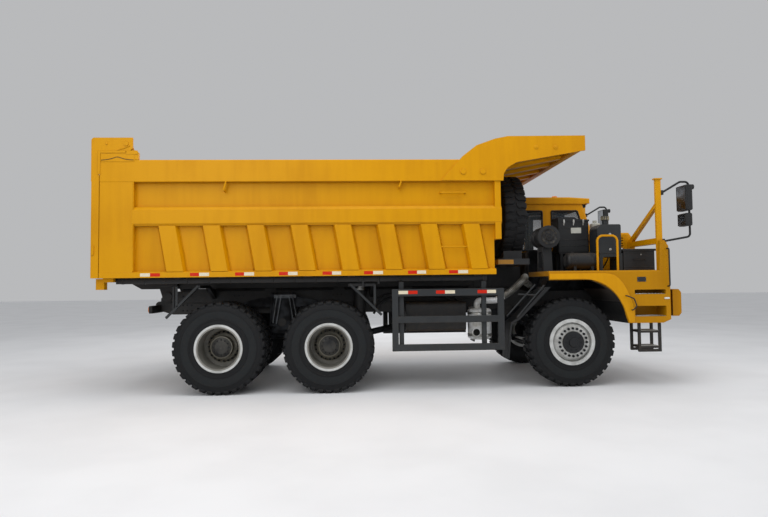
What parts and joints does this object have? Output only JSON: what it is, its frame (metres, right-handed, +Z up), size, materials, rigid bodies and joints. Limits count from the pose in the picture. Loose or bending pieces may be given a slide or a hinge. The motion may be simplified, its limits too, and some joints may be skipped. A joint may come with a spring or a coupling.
{
  "type": "mining dump truck",
  "caption": "Six-wheel off-road dump truck with a half cab, twin rear wheels, a ribbed tipping body with a cab guard, a top-hung tailgate and telescopic hoists.",
  "frame": {"origin": "on the ground, under the middle of the overall length and width", "axes": "+X forward, +Y to the truck's left, +Z up"},
  "size_m": [9.163, 3.468, 3.84],
  "materials": {
    "yellow_paint": "satin, dusty",
    "black_paint": "satin",
    "grey_paint": "satin",
    "rim_silver": "dull silver",
    "tyre_rubber": "matt, dusty",
    "glazing": "clear",
    "cast_steel": "rough",
    "bright_steel": "polished",
    "muffler_steel": "dull",
    "seat_cover": "woven",
    "black_plastic": "matt",
    "white_plastic": "satin",
    "lamp_lens": "clear"
  },
  "bodies": {
    "chassis": {"chassis_frame": "black_paint", "tow_eyes": "black_paint", "front_axle": "cast_steel", "front_springs": "cast_steel", "tandem_axles": "cast_steel", "tandem_springs": "cast_steel", "propeller_shafts": "cast_steel", "engine_block": "cast_steel", "engine_hood": "yellow_paint", "fender_right": "yellow_paint", "fender_left": "yellow_paint", "front_bumper": "yellow_paint", "access_ladders": "black_paint", "cab_shell": "yellow_paint", "cab_roof": "yellow_paint", "cab_glass": "glazing", "driver_seat": "seat_cover", "steering_console": "black_plastic", "air_cleaner": "black_plastic", "oil_tank": "grey_paint", "air_tank": "black_paint", "battery_box": "black_paint", "deck_rails": "yellow_paint", "mirrors": "black_plastic", "side_guards": "grey_paint", "side_tanks": "black_paint", "exhaust": "muffler_steel", "mudguards": "black_plastic", "spare_carrier": "yellow_paint", "spare_tyre": "tyre_rubber", "spare_rim": "rim_silver", "lamps": "lamp_lens", "lamp_housings": "black_plastic", "coolant_tank": "white_plastic"},
    "cab_door": {"cab_door": "yellow_paint", "door_glass": "glazing"},
    "knuckle_left": {"knuckle_left": "cast_steel"},
    "knuckle_right": {"knuckle_right": "cast_steel"},
    "tie_rod": {"tie_rod": "cast_steel"},
    "front_wheel_left": {"front_tyre_left": "tyre_rubber", "front_rim_left": "rim_silver"},
    "front_wheel_right": {"front_tyre_right": "tyre_rubber", "front_rim_right": "rim_silver"},
    "middle_wheels_left": {"middle_tyres_left": "tyre_rubber", "middle_rims_left": "rim_silver"},
    "middle_wheels_right": {"middle_tyres_right": "tyre_rubber", "middle_rims_right": "rim_silver"},
    "rear_wheels_left": {"rear_tyres_left": "tyre_rubber", "rear_rims_left": "rim_silver"},
    "rear_wheels_right": {"rear_tyres_right": "tyre_rubber", "rear_rims_right": "rim_silver"},
    "dump_body": {"body_tub": "yellow_paint", "body_underframe": "black_paint", "body_canopy": "yellow_paint"},
    "tailgate": {"tailgate": "yellow_paint"},
    "hoist_barrels": {"hoist_barrels": "black_paint"},
    "hoist_stage_1": {"hoist_stage_1": "bright_steel"},
    "hoist_stage_2": {"hoist_stage_2": "bright_steel"},
    "hoist_stage_3": {"hoist_stage_3": "bright_steel"}
  },
  "joints": [
    {"name": "body_tilt", "type": "hinge", "parent": "chassis", "child": "dump_body", "pos_m": [-3.82, 0, 1.44], "axis": [0, -1, 0], "range_deg": [0, 46]},
    {"name": "tailgate_swing", "type": "hinge", "parent": "dump_body", "child": "tailgate", "pos_m": [-4.07, 0, 3.72], "axis": [0, 1, 0], "range_deg": [0, 60]},
    {"name": "hoist_lean", "type": "hinge", "parent": "chassis", "child": "hoist_barrels", "pos_m": [-0.7, 0, 0.54], "axis": [0, -1, 0], "range_deg": [0, 21.5]},
    {"name": "hoist_slide_1", "type": "slide", "parent": "hoist_barrels", "child": "hoist_stage_1", "axis": [0.0621, 0, 0.9981], "range_m": [0, 0.813]},
    {"name": "hoist_slide_2", "type": "slide", "parent": "hoist_stage_1", "child": "hoist_stage_2", "axis": [0.0621, 0, 0.9981], "range_m": [0, 0.813]},
    {"name": "hoist_slide_3", "type": "slide", "parent": "hoist_stage_2", "child": "hoist_stage_3", "axis": [0.0621, 0, 0.9981], "range_m": [0, 0.813]},
    {"name": "steer_left", "type": "hinge", "parent": "chassis", "child": "knuckle_left", "pos_m": [2.61, 1, 0.685], "axis": [0, 0, 1], "range_deg": [-30, 30]},
    {"name": "steer_right", "type": "hinge", "parent": "chassis", "child": "knuckle_right", "pos_m": [2.61, -1, 0.685], "axis": [0, 0, 1], "range_deg": [-30, 30]},
    {"name": "tie_rod_turn", "type": "hinge", "parent": "knuckle_left", "child": "tie_rod", "pos_m": [2.35, 0.96, 0.52], "axis": [0, 0, 1], "range_deg": [-30, 30]},
    {"name": "front_spin_left", "type": "hinge", "parent": "knuckle_left", "child": "front_wheel_left", "pos_m": [2.61, 1.312, 0.685], "axis": [0, 1, 0], "continuous": true},
    {"name": "front_spin_right", "type": "hinge", "parent": "knuckle_right", "child": "front_wheel_right", "pos_m": [2.61, -1.312, 0.685], "axis": [0, 1, 0], "continuous": true},
    {"name": "middle_spin_left", "type": "hinge", "parent": "chassis", "child": "middle_wheels_left", "pos_m": [-1.12, 1.255, 0.685], "axis": [0, 1, 0], "continuous": true},
    {"name": "middle_spin_right", "type": "hinge", "parent": "chassis", "child": "middle_wheels_right", "pos_m": [-1.12, -1.255, 0.685], "axis": [0, 1, 0], "continuous": true},
    {"name": "rear_spin_left", "type": "hinge", "parent": "chassis", "child": "rear_wheels_left", "pos_m": [-2.74, 1.255, 0.685], "axis": [0, 1, 0], "continuous": true},
    {"name": "rear_spin_right", "type": "hinge", "parent": "chassis", "child": "rear_wheels_right", "pos_m": [-2.74, -1.255, 0.685], "axis": [0, 1, 0], "continuous": true},
    {"name": "door_swing", "type": "hinge", "parent": "chassis", "child": "cab_door", "pos_m": [3.668, 1.578, 2.2], "axis": [0, 0, -1], "range_deg": [0, 75]}
  ],
  "couplings": [
    {"joint": "hoist_lean", "follows": "body_tilt", "ratio": 0.4572},
    {"joint": "hoist_slide_1", "follows": "body_tilt", "m_per_rad": 1.0058},
    {"joint": "hoist_slide_2", "follows": "body_tilt", "m_per_rad": 1.0058},
    {"joint": "hoist_slide_3", "follows": "body_tilt", "m_per_rad": 1.0058},
    {"joint": "steer_right", "follows": "steer_left", "ratio": 1},
    {"joint": "tie_rod_turn", "follows": "steer_left", "ratio": -1}
  ]
}
